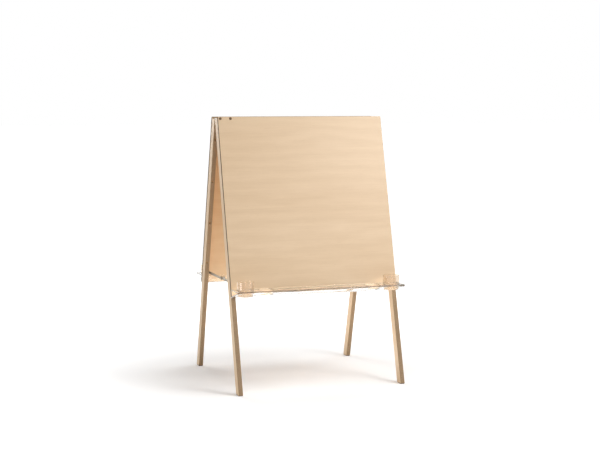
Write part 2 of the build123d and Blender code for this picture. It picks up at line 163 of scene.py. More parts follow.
class EaselSizes(PropertyGroup):
    """Sizes of the pieces that are built here."""
    board_back: length("Board's back", 40.3, "Hinge axis plane to the back of a board")
    board_thickness: length("Board thickness", 12.0, "Thickness of a plywood board")
    board_top: length("Board's top", 4.0, "Hinge axis down the slope to a board's top edge")
    board_height: length("Board height", 768.0, "Height of a board down its slope")
    leg_width: length("Leg width", 20.0, "Width of a leg across the easel")
    leg_back: length("Leg's back", 2.3, "Hinge axis plane to the inner face of the legs")
    board_plies: IntProperty(
        name="Board plies", description="Plies in a board", default=9, min=3)
    leg_plies: IntProperty(
        name="Leg plies", description="Plies across a leg", default=13, min=3)
    rail_plies: IntProperty(
        name="Rail plies", description="Plies in a top rail", default=27, min=3)
    sheet: length("Sheet thickness", 4.0, "Thickness of a tray's clear sheet")
    tray_lip: length("Tray lip", 9.0, "Height of a tray's front lip")
    tray_hook: length("Tray hook", 30.0, "Height that a tray turns up behind its board")
    tray_flange: length("Tray flange", 22.0, "Length that a tray turns down on its board")
    bend: length("Bend", 4.0, "Radius of the bend down on the board, at mid-thickness")
    tight_bend: length("Tight bend", 2.5, "Radius of the hook's and the lip's bends")
    polish: length("Edge polish", 0.4, "Rounding of the sheet's polished edges")
    leg_gap: length("Leg gap", 2.0, "Room between a tray and the legs")
    pot_hole: length("Pot hole radius", 33.4, "Radius of the holes in a tray")
    hole_pitch: length("Hole pitch", 89.0, "From a pot's centre to the spare hole's")
    pot_shoulder: length("Pot shoulder", 35.4, "Radius of a pot just above the tray")
    pot_neck: length("Pot neck", 33.0, "Radius of a pot just below the tray")
    pot_base: length("Pot base", 32.0, "Radius of a pot at its bottom")
    pot_wall: length("Pot wall", 1.6, "Wall thickness of a pot")
    pot_floor: length("Pot floor", 2.0, "Floor thickness of a pot")
    pot_rim: length("Pot rim", 3.4, "Height of the rolled rim of a pot")
    rim_step: length("Rim step", 0.6, "How far a pot's rim stands out from its wall")
    screw_hole: length("Screw hole", 2.05, "Radius of the screw holes in a tray's hook")


class EaselColours(PropertyGroup):
    """Colours of the finishes."""
    veneer_light: colour("Veneer, light", (0.91, 0.80, 0.665), "Pale figure of the face veneer")
    veneer_dark: colour("Veneer, dark", (0.865, 0.745, 0.60), "Deeper figure of the face veneer")
    # Warmer, more orange copies of the veneer for faces turned into the easel: painted warm light
    # bounced between the boards.
    bounce_tint_light: colour("Bounce-lit veneer, light", (0.92, 0.79, 0.62), "Pale figure inside")
    bounce_tint_dark: colour("Bounce-lit veneer, dark", (0.885, 0.735, 0.555), "Deeper figure inside")
    pore: colour("Pores", (0.66, 0.50, 0.35), "Fine pores and flecks of the veneer")
    ply_light: colour("Ply, light", (0.75, 0.645, 0.52), "Long-grain plies on the edges")
    ply_dark: colour("Ply, dark", (0.53, 0.43, 0.325), "Cross-grain plies on the edges")
    end_light: colour("Board end, light", (0.43, 0.335, 0.24), "Paler plies on the boards' ends")
    end_dark: colour("Board end, dark", (0.30, 0.225, 0.15), "Darker plies on the boards' ends")
    sheet: colour("Clear sheet", (0.995, 0.995, 0.99), "Tint of the trays' clear sheet")
    sheet_end: colour("Sheet end", (0.40, 0.36, 0.31), "Tint of the cut ends of the trays' sheet")
    # Darker tint of the tray's lip: a painted dark reflection of the board's shaded bottom edge.
    lip: colour("Tray lip", (0.56, 0.49, 0.41), "Painted dark reflection in a tray's lip")
    pot: colour("Pot", (0.955, 0.915, 0.86), "Tint of the pots")
    zinc: colour("Zinc", (0.78, 0.78, 0.77), "Zinc plate of hinges, washers and screws")
    yellow_zinc: colour("Yellow zinc", (0.74, 0.60, 0.43), "Yellow plate of the boards' screws")
    stay: colour("Stay", (0.62, 0.58, 0.52), "Grey plate of the stays' links")
    cap: colour("Bolt cap", (0.40, 0.31, 0.22), "Bronzed caps of the bolts")
    pad: colour("Foot pad", (0.47, 0.40, 0.33), "Felt of the foot pads")


class EaselStudio(PropertyGroup):
    """Camera, floor and lights."""
    camera_place: FloatVectorProperty(
        name="Camera", description="Where the camera stands", size=3, subtype="TRANSLATION",
        unit="LENGTH", default=(-1.830584, -5.355323, 1.206921))
    camera_turn: FloatProperty(name="Turn", description="Camera's turn to the right of +Y",
                               subtype="ANGLE", default=math.radians(19.005))
    camera_dip: FloatProperty(name="Dip", description="Camera's dip below the horizon",
                              subtype="ANGLE", default=math.radians(5.79))
    lens: amount("Lens", 77.41, "Focal length in millimetres", "CAMERA")
    room_light: amount("Room light", 0.18, "Even light from all round")
    top_light: amount("Top light", 1.2, "Soft light overhead")
    side_light: amount("Side light", 26.0, "Soft light on the right", "POWER")
    low_light: amount("Low light", 9.0, "Soft light on the left", "POWER")
    front_light: amount("Front light", 16.0, "Soft light in front", "POWER")
    back_light: amount("Back light", 45.0, "Soft light behind", "POWER")
    under_light: amount("Under light", 1.8, "Light thrown up between the frames", "POWER")
    floor: colour("Floor", (0.97, 0.97, 0.97), "Pale studio floor")
    near_lift: amount("Near lift", 0.13, "White that the floor adds in view, close by")
    far_lift: amount("Far lift", 0.55, "White that the floor adds in view, further away")


def frame_point(outward, x, v, w):
    """Place on one frame: x across, v up the slope from the hinge axis, w outwards from it."""
    return Vector((x, outward * (w * math.cos(LEAN) - v * math.sin(LEAN)),
                   AXIS_Z + v * math.cos(LEAN) + w * math.sin(LEAN)))


def section_point(v, w):
    """Reach and height of a place on either frame."""
    return Vector(frame_point(1, 0, v, w).yz)


def outward_normal(outward):
    """The way a board faces."""
    return Vector((0, outward * math.cos(LEAN), math.sin(LEAN)))


def wire(tree, kind, inputs=(), **settings):
    """A shader node; inputs maps its socket names or numbers to values or to other sockets."""
    node = tree.nodes.new(kind)
    for key, value in settings.items():
        setattr(node, key, value)
    for key, value in dict(inputs).items():
        if isinstance(value, bpy.types.NodeSocket):
            tree.links.new(value, node.inputs[key])
        else:
            node.inputs[key].default_value = value
    return node


def math_node(tree, operation, *values):
    """Result of one sum."""
    return wire(tree, "ShaderNodeMath", enumerate(values), operation=operation).outputs[0]


def blend_colours(tree, factor, first, second):
    """Mix of two colours."""
    values = {0: factor, 6: first, 7: second}
    return wire(tree, "ShaderNodeMix", values, data_type="RGBA").outputs[2]


def scaled(tree, vector, scale):
    """Coordinates stretched along their axes."""
    return wire(tree, "ShaderNodeMapping", {"Vector": vector, "Scale": scale}).outputs[0]


def noise(tree, vector, scale, detail=3.0, roughness=0.5, distortion=0.0):
    """Noise from 0 to 1."""
    values = {"Vector": vector, "Scale": scale, "Detail": detail, "Roughness": roughness,
              "Distortion": distortion}
    return wire(tree, "ShaderNodeTexNoise", values).outputs[0]


def even_noise(tree, place, per_metre, detail=3.0, roughness=0.5, distortion=0.0):
    """Noise from 0 to 1 of the same grain in all directions."""
    return noise(tree, scaled(tree, place, (per_metre,) * 3), 1.0, detail, roughness, distortion)


def spread(tree, value, low, high, to_low=0.0, to_high=1.0):
    """Value moved from one range to another, held at its ends."""
    values = {"Value": value, "From Min": low, "From Max": high,
              "To Min": to_low, "To Max": to_high}
    return wire(tree, "ShaderNodeMapRange", values).outputs[0]


def bump(tree, height, depth):
    """Surface normal with relief of that depth in metres."""
    values = {"Height": height, "Strength": 1.0, "Distance": depth}
    return wire(tree, "ShaderNodeBump", values).outputs[0]


def object_place(tree):
    """Object coordinates."""
    return wire(tree, "ShaderNodeTexCoord").outputs["Object"]


def seen(tree):
    """1 for what the camera sees, straight, mirrored or through clear plastic, and 0 for light."""
    path = wire(tree, "ShaderNodeLightPath").outputs
    direct = math_node(tree, "MAXIMUM", path["Is Camera Ray"], path["Is Glossy Ray"])
    return math_node(tree, "MAXIMUM", direct, path["Is Transmission Ray"])


def opaque(rgb):
    """Colour with its alpha."""
    return (*rgb, 1.0)


def new_material(name, **constants):
    """A material and its principled shader, with plain values set on the shader's own sockets."""
    material = bpy.data.materials.new(name)
    material.use_nodes = True
    shader = material.node_tree.nodes["Principled BSDF"]
    for key, value in constants.items():
        shader.inputs[key.replace("_", " ")].default_value = value
    return material, material.node_tree, shader


def set_inputs(tree, shader, **sockets):
    """Links sockets to the shader's inputs."""
    for key, socket in sockets.items():
        tree.links.new(socket, shader.inputs[key.replace("_", " ")])


def frame_coordinates(tree, outward):
    """Object coordinates turned so that x runs across, z up the slope and y through the frame."""
    values = {"Vector": object_place(tree), "Rotation": (-outward * LEAN, 0, 0)}
    return wire(tree, "ShaderNodeMapping", values).outputs[0]


def turned_to(tree, direction):
    """How squarely the surface faces a direction, from 1 to -1 where it faces away."""
    normal = wire(tree, "ShaderNodeTexCoord").outputs["Normal"]
    values = {0: normal, 1: direction}
    return wire(tree, "ShaderNodeVectorMath", values, operation="DOT_PRODUCT").outputs["Value"]


def facing(tree, direction):
    """How squarely the surface faces along a direction, either way, from 0 to 1."""
    return math_node(tree, "ABSOLUTE", turned_to(tree, direction))


def along_grain(tree, place, grain, lengthwise, crosswise):
    """Coordinates drawn out along the grain, which runs along x or z."""
    scale = [crosswise] * 3
    scale[0 if grain == "x" else 2] = lengthwise
    return scaled(tree, place, scale)


def ply_edges(tree, place, depth, ply, colours):
    """Colour of the stacked plies on a cut edge, by the depth into the stack.

    The ends of a board or rail, which face along x, are deeper in colour.
    """
    end = spread(tree, facing(tree, (1, 0, 0)), *SQUARE_ON)
    light = blend_colours(tree, end, opaque(colours.ply_light), opaque(colours.end_light))
    dark = blend_colours(tree, end, opaque(colours.ply_dark), opaque(colours.end_dark))
    wander = math_node(tree, "MULTIPLY", even_noise(tree, place, 9), PLY_WANDER)
    layer = math_node(tree, "ADD", math_node(tree, "DIVIDE", depth, ply), wander)
    crossing = math_node(tree, "GREATER_THAN", math_node(tree, "FLOORED_MODULO", layer, 2.0), 1.0)
    fleck = even_noise(tree, place, 260, 3, 0.6)
    plies = blend_colours(tree, crossing, light, dark)
    return blend_colours(tree, spread(tree, fleck, 0.35, 0.75, 0.0, 0.4), plies, dark)


def plywood(name, outward, colours, seed, grain, stack, datum, ply, gloss):
    """Lacquered birch plywood: figured veneer on its faces, with painted warm bounce light on the
    faces turned into the easel, and plies on its edges.

    The plies are stacked along x, from datum outwards on either hand, or through the frame.
    The seed moves the figure, so that no two pieces are alike.
    """
    material, tree, shader = new_material(name, Coat_Roughness=0.40, Specular_IOR_Level=0.3)
    fixed = frame_coordinates(tree, outward)
    shift = {"Vector": fixed, "Location": (seed, 0, seed)}
    place = wire(tree, "ShaderNodeMapping", shift).outputs[0]
    cloud = noise(tree, along_grain(tree, place, grain, *CLOUD_STRETCH), 1.6, 4, 0.55, 0.6)
    wave = wire(tree, "ShaderNodeTexWave", {
        "Vector": along_grain(tree, place, grain, *WAVE_STRETCH), "Scale": 5.5,
        "Distortion": 9.0, "Detail": 3.0, "Detail Scale": 1.1, "Detail Roughness": 0.6},
        bands_direction="Z" if grain == "x" else "X").outputs["Fac"]
    streak = noise(tree, along_grain(tree, place, grain, *STREAK_STRETCH), 1.0, 4, 0.65)
    line = noise(tree, along_grain(tree, place, grain, *LINE_STRETCH), 1.0, 2, 0.6)
    pore = noise(tree, along_grain(tree, place, grain, *PORE_STRETCH), 1.0, 1, 0.5)
    figure = math_node(tree, "MULTIPLY", cloud, FIGURE["cloud"])
    for layer, share in ((wave, "wave"), (streak, "streak"), (line, "line")):
        figure = math_node(tree, "MULTIPLY_ADD", layer, FIGURE[share], figure)
    tone = spread(tree, figure, *FIGURE_SPAN)
    face = blend_colours(tree, tone, opaque(colours.veneer_dark), opaque(colours.veneer_light))
    # Faces turned into the easel take the warmer copies of the veneer: painted warm bounce light.
    inward = spread(tree, turned_to(tree, -outward_normal(outward)), *SQUARE_ON)
    bounce_tinted = blend_colours(tree, tone, opaque(colours.bounce_tint_dark), opaque(colours.bounce_tint_light))
    face = blend_colours(tree, inward, face, bounce_tinted)
    pitted = spread(tree, pore, *PORE_SPAN, 0.0, PORE_TINT)
    face = blend_colours(tree, pitted, face, opaque(colours.pore))

    split = wire(tree, "ShaderNodeSeparateXYZ", {0: fixed}).outputs
    if stack == "x":
        depth = math_node(tree, "SUBTRACT", math_node(tree, "ABSOLUTE", split["X"]), datum)
        faced = Vector((1, 0, 0))
    else:
        axis = AXIS_Z * math.sin(LEAN)
        depth = math_node(tree, "MULTIPLY_ADD", split["Y"], outward, -axis - datum)
        faced = outward_normal(outward)
    edge = spread(tree, facing(tree, faced), *CUT_EDGE, 1.0, 0.0)
    surface = blend_colours(tree, edge, face, ply_edges(tree, place, depth, ply, colours))
    relief = math_node(tree, "MULTIPLY_ADD", pore, 0.5, streak)
    rough = math_node(tree, "MAXIMUM", spread(tree, streak, *MID_NOISE, 0.42, 0.55),
                      math_node(tree, "MULTIPLY", edge, EDGE_ROUGHNESS))
    set_inputs(tree, shader, Base_Color=surface, Roughness=rough,
               Coat_Weight=math_node(tree, "MULTIPLY_ADD", edge, -gloss, gloss),
               Normal=bump(tree, relief, WOOD_RELIEF))
    return material


def dowel_wood(name, colours):
    """Plain turned birch with its grain along x."""
    material, tree, shader = new_material(name)
    place = object_place(tree)
    streak = noise(tree, scaled(tree, place, (12, 260, 260)), 1.0, 3, 0.6)
    surface = blend_colours(tree, spread(tree, streak, 0.35, 0.65), opaque(colours.veneer_dark),
                            opaque(colours.veneer_light))
    rough = spread(tree, streak, *MID_NOISE, 0.55, 0.7)
    set_inputs(tree, shader, Base_Color=surface, Roughness=rough,
               Normal=bump(tree, streak, 0.1 * MM))
    return material


def metal(name, rgb, roughness, metallic=1.0, grain=(300, 300, 300)):
    """Plated metal with faint clouding and fine marks."""
    material, tree, shader = new_material(name, Metallic=metallic)
    place = object_place(tree)
    cloud = even_noise(tree, place, 70, 4, 0.6)
    marks = noise(tree, scaled(tree, place, grain), 1.0, 3, 0.6)
    dark = opaque([c * 0.78 for c in rgb])
    surface = blend_colours(tree, spread(tree, cloud, *MID_NOISE), dark, opaque(rgb))
    rough = spread(tree, marks, *MID_NOISE, roughness - 0.07, roughness + 0.10)
    set_inputs(tree, shader, Base_Color=surface, Roughness=rough,
               Normal=bump(tree, marks, 0.02 * MM))
    return material


def clear_plastic(name, surface_of, clear, smooth, dull, shadow, frost_depth):
    """Clear plastic with a glossy skin, which lets most of the light through to what is behind."""
    material, tree, shader = new_material(
        name, Transmission_Weight=clear, IOR=SOFT_IOR, Coat_Weight=1.0, Coat_IOR=1.49,
        Coat_Roughness=smooth)
    place = object_place(tree)
    smear = even_noise(tree, place, 22, 4, 0.6, 0.8)
    hazed = even_noise(tree, place, 900, 2, 0.5)
    passes = wire(tree, "ShaderNodeLightPath").outputs["Is Shadow Ray"]
    alpha = math_node(tree, "MULTIPLY_ADD", passes, shadow - 1.0, 1.0)
    set_inputs(tree, shader, Base_Color=surface_of(tree, place, smear), Alpha=alpha,
               Roughness=spread(tree, smear, *MID_NOISE, smooth, dull),
               Normal=bump(tree, hazed, frost_depth))
    return material


def clear_sheet(colours):
    """Acrylic of the trays, deeper in the lip, where a painted dark reflection of the board's
    shaded bottom edge darkens it.
    """
    def surface(tree, place, smear):
        split = wire(tree, "ShaderNodeSeparateXYZ", {0: place}).outputs
        reach = math_node(tree, "ABSOLUTE", split["Y"])
        # Mask of the tray's lip, which takes the painted dark reflection of the board's shaded
        # bottom edge.
        front = spread(tree, reach, *(TRAY_REACH + shift for shift in LIP_SHADE_REACH))
        upper = spread(tree, split["Z"], *(TRAY_TOP + shift for shift in LIP_SHADE_HEIGHT))
        lip = math_node(tree, "MULTIPLY", front, upper)
        clear = blend_colours(tree, smear, opaque([c * 0.985 for c in colours.sheet]),
                              opaque(colours.sheet))
        lip_shaded = blend_colours(tree, lip, clear, opaque(colours.lip))
        end = spread(tree, facing(tree, (1, 0, 0)), *SQUARE_ON)
        return blend_colours(tree, end, lip_shaded, opaque(colours.sheet_end))
    return clear_plastic("clear sheet", surface, clear=1.0, smooth=0.03, dull=0.08,
                         shadow=0.03, frost_depth=0.002 * MM)


def frosted_plastic(colours):
    """Milky plastic of the pots."""
    def surface(tree, place, smear):
        deeper = opaque([c * 0.96 for c in colours.pot])
        return blend_colours(tree, smear, deeper, opaque(colours.pot))
    return clear_plastic("frosted plastic", surface, clear=0.95, smooth=0.12, dull=0.20,
                         shadow=0.10, frost_depth=0.003 * MM)


def felt(name, rgb):
    """Pressed felt."""
    material, tree, shader = new_material(name, Sheen_Weight=0.3)
    place = object_place(tree)
    fibre = even_noise(tree, place, 1500, 4, 0.7)
    dark = opaque([c * 0.6 for c in rgb])
    surface = blend_colours(tree, spread(tree, fibre, *MID_NOISE), dark, opaque(rgb))
    set_inputs(tree, shader, Base_Color=surface, Roughness=spread(tree, fibre, 0, 1, 0.85, 1.0),
               Normal=bump(tree, fibre, 0.3 * MM))
    return material


def dress(node, material):
    """Gives a carried piece its finish."""
    for slot in NODES[node].material_slots:
        slot.link = "OBJECT"
        slot.material = material


def new_object(name, mesh, material=None):
    """Object in the scene, smooth but for its sharp edges."""
    shape = bmesh.new()
    shape.from_mesh(mesh)
    bmesh.ops.recalc_face_normals(shape, faces=shape.faces)
    for face in shape.faces:
        face.smooth = True
    for edge in shape.edges:
        edge.smooth = len(edge.link_faces) == 2 and edge.calc_face_angle() < SHARP
    shape.to_mesh(mesh)
    shape.free()
    piece = bpy.data.objects.new(name, mesh)
    bpy.context.scene.collection.objects.link(piece)
    if material:
        mesh.materials.append(material)
    return piece


def mesh_from(name, points, faces):
    """Mesh from points and faces."""
    mesh = bpy.data.meshes.new(name)
    mesh.from_pydata([tuple(point) for point in points], [], faces)
    return mesh


def settled(piece):
    """The piece's mesh with its modifiers applied."""
    bpy.context.view_layer.update()
    depsgraph = bpy.context.evaluated_depsgraph_get()
    mesh = bpy.data.meshes.new_from_object(piece.evaluated_get(depsgraph))
    piece.modifiers.clear()
    return mesh


def cut(piece, cutter):
    """Takes a cutter's shape out of a piece and deletes the cutter."""
    modifier = piece.modifiers.new("cut", "BOOLEAN")
    modifier.operation = "DIFFERENCE"
    modifier.solver = "EXACT"
    modifier.object = cutter
    piece.data = settled(piece)
    bpy.data.objects.remove(cutter)


def lathed(profile, segments):
    """Points and faces of a profile of (radius, height), from axis to axis, turned round Z."""
    points = [(0, 0, profile[0][1])]
    for radius, height in profile[1:-1]:
        for step in range(segments):
            angle = math.tau * step / segments
            points.append((radius * math.cos(angle), radius * math.sin(angle), height))
    points.append((0, 0, profile[-1][1]))
    faces, last = [], len(points) - 1
    rings = len(profile) - 2
    for step in range(segments):
        after = (step + 1) % segments
        faces.append((0, 1 + after, 1 + step))
        for ring in range(rings - 1):
            low, high = 1 + ring * segments, 1 + (ring + 1) * segments
            faces.append((low + step, low + after, high + after, high + step))
        top = 1 + (rings - 1) * segments
        faces.append((top + step, top + after, last))
    return points, faces


def rounded(points, radii):
    """A path of 2D points with an arc of the given radius at each inner point."""
    path = [points[0]]
    for before, corner, after, radius in zip(points, points[1:], points[2:], radii):
        back, ahead = (before - corner).normalized(), (after - corner).normalized()
        turn = math.pi - back.angle(ahead)
        if turn < ARC_STEP:
            path.append(corner)
            continue
        centre = corner + (back + ahead).normalized() * radius / math.cos(turn / 2)
        arm = corner + back * radius * math.tan(turn / 2) - centre
        sense = math.copysign(1, back.y * ahead.x - back.x * ahead.y)
        count = math.ceil(turn / ARC_STEP)
        for step in range(count + 1):
            path.append(centre + Matrix.Rotation(sense * turn * step / count, 2) @ arm)
    path.append(points[-1])
    return path


def offset_path(path, distance):
    """The path moved sideways, with its corners kept square to it."""
    moved = []
    for index, point in enumerate(path):
        normals = []
        for start, end in ((index - 1, index), (index, index + 1)):
            if 0 <= start and end < len(path):
                along = (path[end] - path[start]).normalized()
                normals.append(Vector((-along.y, along.x)))
        middle = sum(normals, Vector((0, 0))).normalized()
        moved.append(point + middle * distance / middle.dot(normals[0]))
    return moved


def meeting(first, along_first, second, along_second):
    """Where two lines in the section cross."""
    gap = second - first
    cross = along_first.x * along_second.y - along_first.y * along_second.x
    share = (gap.x * along_second.y - gap.y * along_second.x) / cross
    return first + along_first * share


def tray_path(sizes):
    """Middle line of a tray's sheet, from its hook round to the flange on the board's face."""
    half = sizes.sheet / 2
    board_face = sizes.board_back + sizes.board_thickness
    bottom = -sizes.board_top - sizes.board_height
    across = (section_point(0, 1) - section_point(0, 0)).normalized()
    up = (section_point(1, 0) - section_point(0, 0)).normalized()
    hook_top = section_point(bottom + sizes.tray_hook, sizes.board_back - half)
    hook_foot = section_point(bottom - half, sizes.board_back - half)
    heel = section_point(bottom - sizes.sheet, board_face)
    nose = Vector((TRAY_REACH, TRAY_TOP - sizes.tray_lip))
    sloping = (nose - heel).normalized()
    heel_mid = heel + Vector((-sloping.y, sloping.x)) * half
    under = meeting(hook_foot, across, heel_mid, sloping)
    lip_foot = meeting(heel_mid, sloping, nose - Vector((half, 0)), Vector((0, 1)))
    lip_top = Vector((TRAY_REACH - half, TRAY_TOP - half))
    flange = section_point(0, board_face + half)
    shelf_back = meeting(lip_top, Vector((1, 0)), flange, up)
    corners = [hook_top, hook_foot, under, lip_foot, lip_top, shelf_back,
               shelf_back - up * sizes.tray_flange]
    return rounded(corners, (sizes.tight_bend, 0, sizes.tight_bend, sizes.tight_bend, sizes.bend))


def drum(centre, axis, radius, span, segments):
    """Points and faces of a plain cylinder about a point."""
    points, faces = lathed([(0, -span / 2), (radius, -span / 2), (radius, span / 2),
                            (0, span / 2)], segments)
    turn = axis.to_track_quat("Z", "Y").to_matrix()
    return [centre + turn @ Vector(point) for point in points], faces


BLOCK_FACES = [(0, 1, 3, 2), (4, 6, 7, 5), (0, 4, 5, 1), (2, 3, 7, 6), (0, 2, 6, 4), (1, 5, 7, 3)]


def block(outward, x, v, w):
    """Points and faces of a box on a frame between pairs of x, v and w."""
    return [frame_point(outward, a, b, c) for a in x for b in v for c in w], BLOCK_FACES


def joined(parts):
    """Several lots of points and faces as one."""
    points, faces = [], []
    for more_points, more_faces in parts:
        start = len(points)
        points += list(more_points)
        faces += [tuple(start + index for index in face) for face in more_faces]
    return points, faces


def solids(node):
    """The separate solids of a carried piece, as lists of their points."""
    shape = bmesh.new()
    shape.from_mesh(NODES[node].data)
    bmesh.ops.remove_doubles(shape, verts=shape.verts, dist=WELD)
    left, found = set(shape.verts), []
    while left:
        queue, points = [left.pop()], []
        while queue:
            vertex = queue.pop()
            points.append(vertex.co.copy())
            for edge in vertex.link_edges:
                other = edge.other_vert(vertex)
                if other in left:
                    left.remove(other)
                    queue.append(other)
        found.append(points)
    shape.free()
    return found


def middle(values):
    """Halfway between the least and the greatest."""
    values = list(values)
    return (min(values) + max(values)) / 2


def screw_places(node, outward):
    """Each screw's x and v, and the w of its head's inner end, from left to right."""
    normal = outward_normal(outward)
    up = Vector((0, -outward * math.sin(LEAN), math.cos(LEAN)))
    axis = Vector((0, 0, AXIS_Z))
    places = []
    for points in solids(node):
        v = middle((point - axis).dot(up) for point in points)
        places.append((middle(point.x for point in points), v,
                       min((point - axis).dot(normal) for point in points)))
    return sorted(places)


def build_tray(side, outward, sizes, material):
    """A tray bent from one clear sheet, with its holes, notches at the legs and polished edges."""
    path = tray_path(sizes)
    outline = offset_path(path, sizes.sheet / 2) + offset_path(path, -sizes.sheet / 2)[::-1]
    count = len(outline)
    points = [(x, outward * reach, height) for x in (-HALF_WIDTH, HALF_WIDTH)
              for reach, height in outline]
    faces = [tuple(range(count)), tuple(range(count, 2 * count))]
    for index in range(count):
        after = (index + 1) % count
        faces.append((index, after, count + after, count + index))
    tray = new_object(f"{side}_clear_tray", mesh_from("tray", points, faces), material)

    low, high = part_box(f"{side}_left_pot")
    pot_x, pot_y = abs(low.x + high.x) / 2, (low.y + high.y) / 2
    spare_x = pot_x - sizes.hole_pitch
    holes = [drum(Vector((x, pot_y, TRAY_TOP)), Vector((0, 0, 1)), sizes.pot_hole, HOLE_CUT, ROUND)
             for x in (-pot_x, -spare_x, spare_x, pot_x)]
    for x, v, _ in screw_places(f"{side}_tray_screws", outward):
        centre = frame_point(outward, x, v, sizes.board_back - sizes.sheet / 2)
        holes.append(drum(centre, outward_normal(outward), sizes.screw_hole, 3 * sizes.sheet,
                          SMALL_ROUND))
    bottom = -sizes.board_top - sizes.board_height
    reach = sizes.tray_hook + sizes.leg_gap
    inner = HALF_WIDTH - sizes.leg_width - sizes.leg_gap
    for hand in (-1, 1):
        span = sorted((hand * inner, hand * (HALF_WIDTH + sizes.leg_width)))
        holes.append(block(outward, span, (bottom - sizes.sheet - sizes.leg_gap, bottom + reach),
                           (sizes.leg_back, sizes.board_back)))
    cut(tray, new_object("cutter", mesh_from("cutter", *joined(holes))))
    bevel = tray.modifiers.new("polish", "BEVEL")
    bevel.width = sizes.polish
    bevel.segments = 2
    bevel.limit_method = "ANGLE"
    bevel.angle_limit = POLISH_FROM
    tray.data = settled(tray)
    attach(tray, FRAME_BODY[side])
    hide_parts(f"{side}_tray")


def pot_profile(sizes, radius, above, below):
    """A pot's section of radius and height above the tray, with a shoulder and a rolled rim."""
    wall = sizes.pot_wall
    floor = sizes.pot_floor - below
    under_rim = above - sizes.pot_rim
    corners = [
        (0, -below), (sizes.pot_base, -below), (sizes.pot_neck, 0), (sizes.pot_shoulder, 0),
        (radius - sizes.rim_step, under_rim), (radius, under_rim), (radius, above),
        (radius - wall, above), (sizes.pot_shoulder - wall, wall), (sizes.pot_neck - wall, 0),
        (sizes.pot_base - wall, floor), (0, floor)]
    radii = [bend * MM for bend in POT_BENDS]
    return [tuple(point) for point in rounded([Vector(corner) for corner in corners], radii)]


def build_pot(side, name, sizes, material):
    """A milky pot that hangs by its shoulder in a tray's hole."""
    low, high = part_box(f"{side}_{name}_pot")
    centre = (low + high) / 2
    profile = pot_profile(sizes, (high.x - low.x) / 2, high.z - TRAY_TOP, TRAY_TOP - low.z)
    points, faces = lathed(profile, ROUND)
    moved = [(x + centre.x, y + centre.y, z + TRAY_TOP) for x, y, z in points]
    pot = new_object(f"{side}_{name}_clear_pot", mesh_from("pot", moved, faces), material)
    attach(pot, f"pot_{side}_{name}")
    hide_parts(f"{side}_{name}_pot")


def tapered_block(low, high, low_size, high_size):
    """Points and faces of a block along Z that widens from low to high; sizes are half widths."""
    points = [(x * width, y * breadth, height) for height, (width, breadth) in
              ((low, low_size), (high, high_size)) for x in (-1, 1) for y in (-1, 1)]
    return points, BLOCK_FACES


def cross_screw(head, shank_radius, shank_length):
    """Mesh of a screw along Z with a cross recess; head is its section from z = 0 up."""
    top = head[-1][1]
    tip = 2 * shank_radius
    profile = [(0, -shank_length), (shank_radius * SCREW_TIP, -shank_length),
               (shank_radius, tip - shank_length), (shank_radius, 0), *head, (0, top)]
    screw = new_object("screw", mesh_from("screw", *lathed(profile, SCREW_ROUND)))
    depth = RECESS_DEPTH * shank_radius
    long = [share * shank_radius for share in RECESS_LENGTH]
    short = [share * shank_radius for share in RECESS_WIDTH]
    for (low_x, high_x), (low_y, high_y) in ((long, short), (short, long)):
        arm = tapered_block(top - depth, top + depth, (low_x, low_y), (high_x, high_y))
        cut(screw, new_object("cutter", mesh_from("cutter", *arm)))
    mesh = screw.data
    bpy.data.objects.remove(screw)
    return mesh


def place_screws(side, outward, kind, head, shank_radius, shank_length, material):
    """Cross-head screws in the places of a frame's carried ones, heads to the inside."""
    template = cross_screw(head, shank_radius, shank_length)
    turn = (-outward_normal(outward)).to_track_quat("Z", "X").to_matrix()
    lots = []
    for index, (x, v, w) in enumerate(screw_places(f"{side}_{kind}_screws", outward)):
        spin = Matrix.Rotation(index * SCREW_SPIN, 3, "Z")
        base = frame_point(outward, x, v, w + head[-1][1])
        points = [base + turn @ (spin @ vertex.co) for vertex in template.vertices]
        lots.append((points, [tuple(polygon.vertices) for polygon in template.polygons]))
    mesh = mesh_from("screws", *joined(lots))
    screws = new_object(f"{side}_{kind}_cross_screws", mesh, material)
    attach(screws, FRAME_BODY[side])
    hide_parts(f"{side}_{kind}_screws")


def scaled_profile(points):
    """Section points given in millimetres."""
    return [(radius * MM, height * MM) for radius, height in points]


def set_world(scene, studio):
    """Even light from all round, behind a white background."""
    world = bpy.data.worlds.new("studio")
    world.use_nodes = True
    scene.world = world
    tree = world.node_tree
    tree.nodes.clear()
    power = spread(tree, seen(tree), 0.0, 1.0, studio.room_light, 1.0)
    sky = wire(tree, "ShaderNodeBackground", {"Color": opaque((1, 1, 1)), "Strength": power})
    wire(tree, "ShaderNodeOutputWorld", {"Surface": sky.outputs[0]})


def lay_floor(studio):
    """Pale floor that keeps the shadow and whitens with distance."""
    corners = [(x * FLOOR_REACH, y * FLOOR_REACH, 0)
               for x, y in ((-1, -1), (1, -1), (1, 1), (-1, 1))]
    material, tree, shader = new_material("studio floor")
    place = object_place(tree)
    speck = even_noise(tree, place, 40, 3, 0.6)
    away = wire(tree, "ShaderNodeVectorMath", {0: place}, operation="LENGTH").outputs["Value"]
    lift = spread(tree, away, *LIFT_SPAN, studio.near_lift, studio.far_lift)
    lift = math_node(tree, "MULTIPLY", seen(tree), lift)
    shader.inputs["Base Color"].default_value = opaque(studio.floor)
    shader.inputs["Specular IOR Level"].default_value = 0.0
    shader.inputs["Emission Color"].default_value = opaque((1, 1, 1))
    rough = spread(tree, speck, 0, 1, 0.85, 1)
    set_inputs(tree, shader, Emission_Strength=lift, Roughness=rough)
    floor = new_object("studio_floor", mesh_from("floor", corners, [(0, 1, 2, 3)]), material)


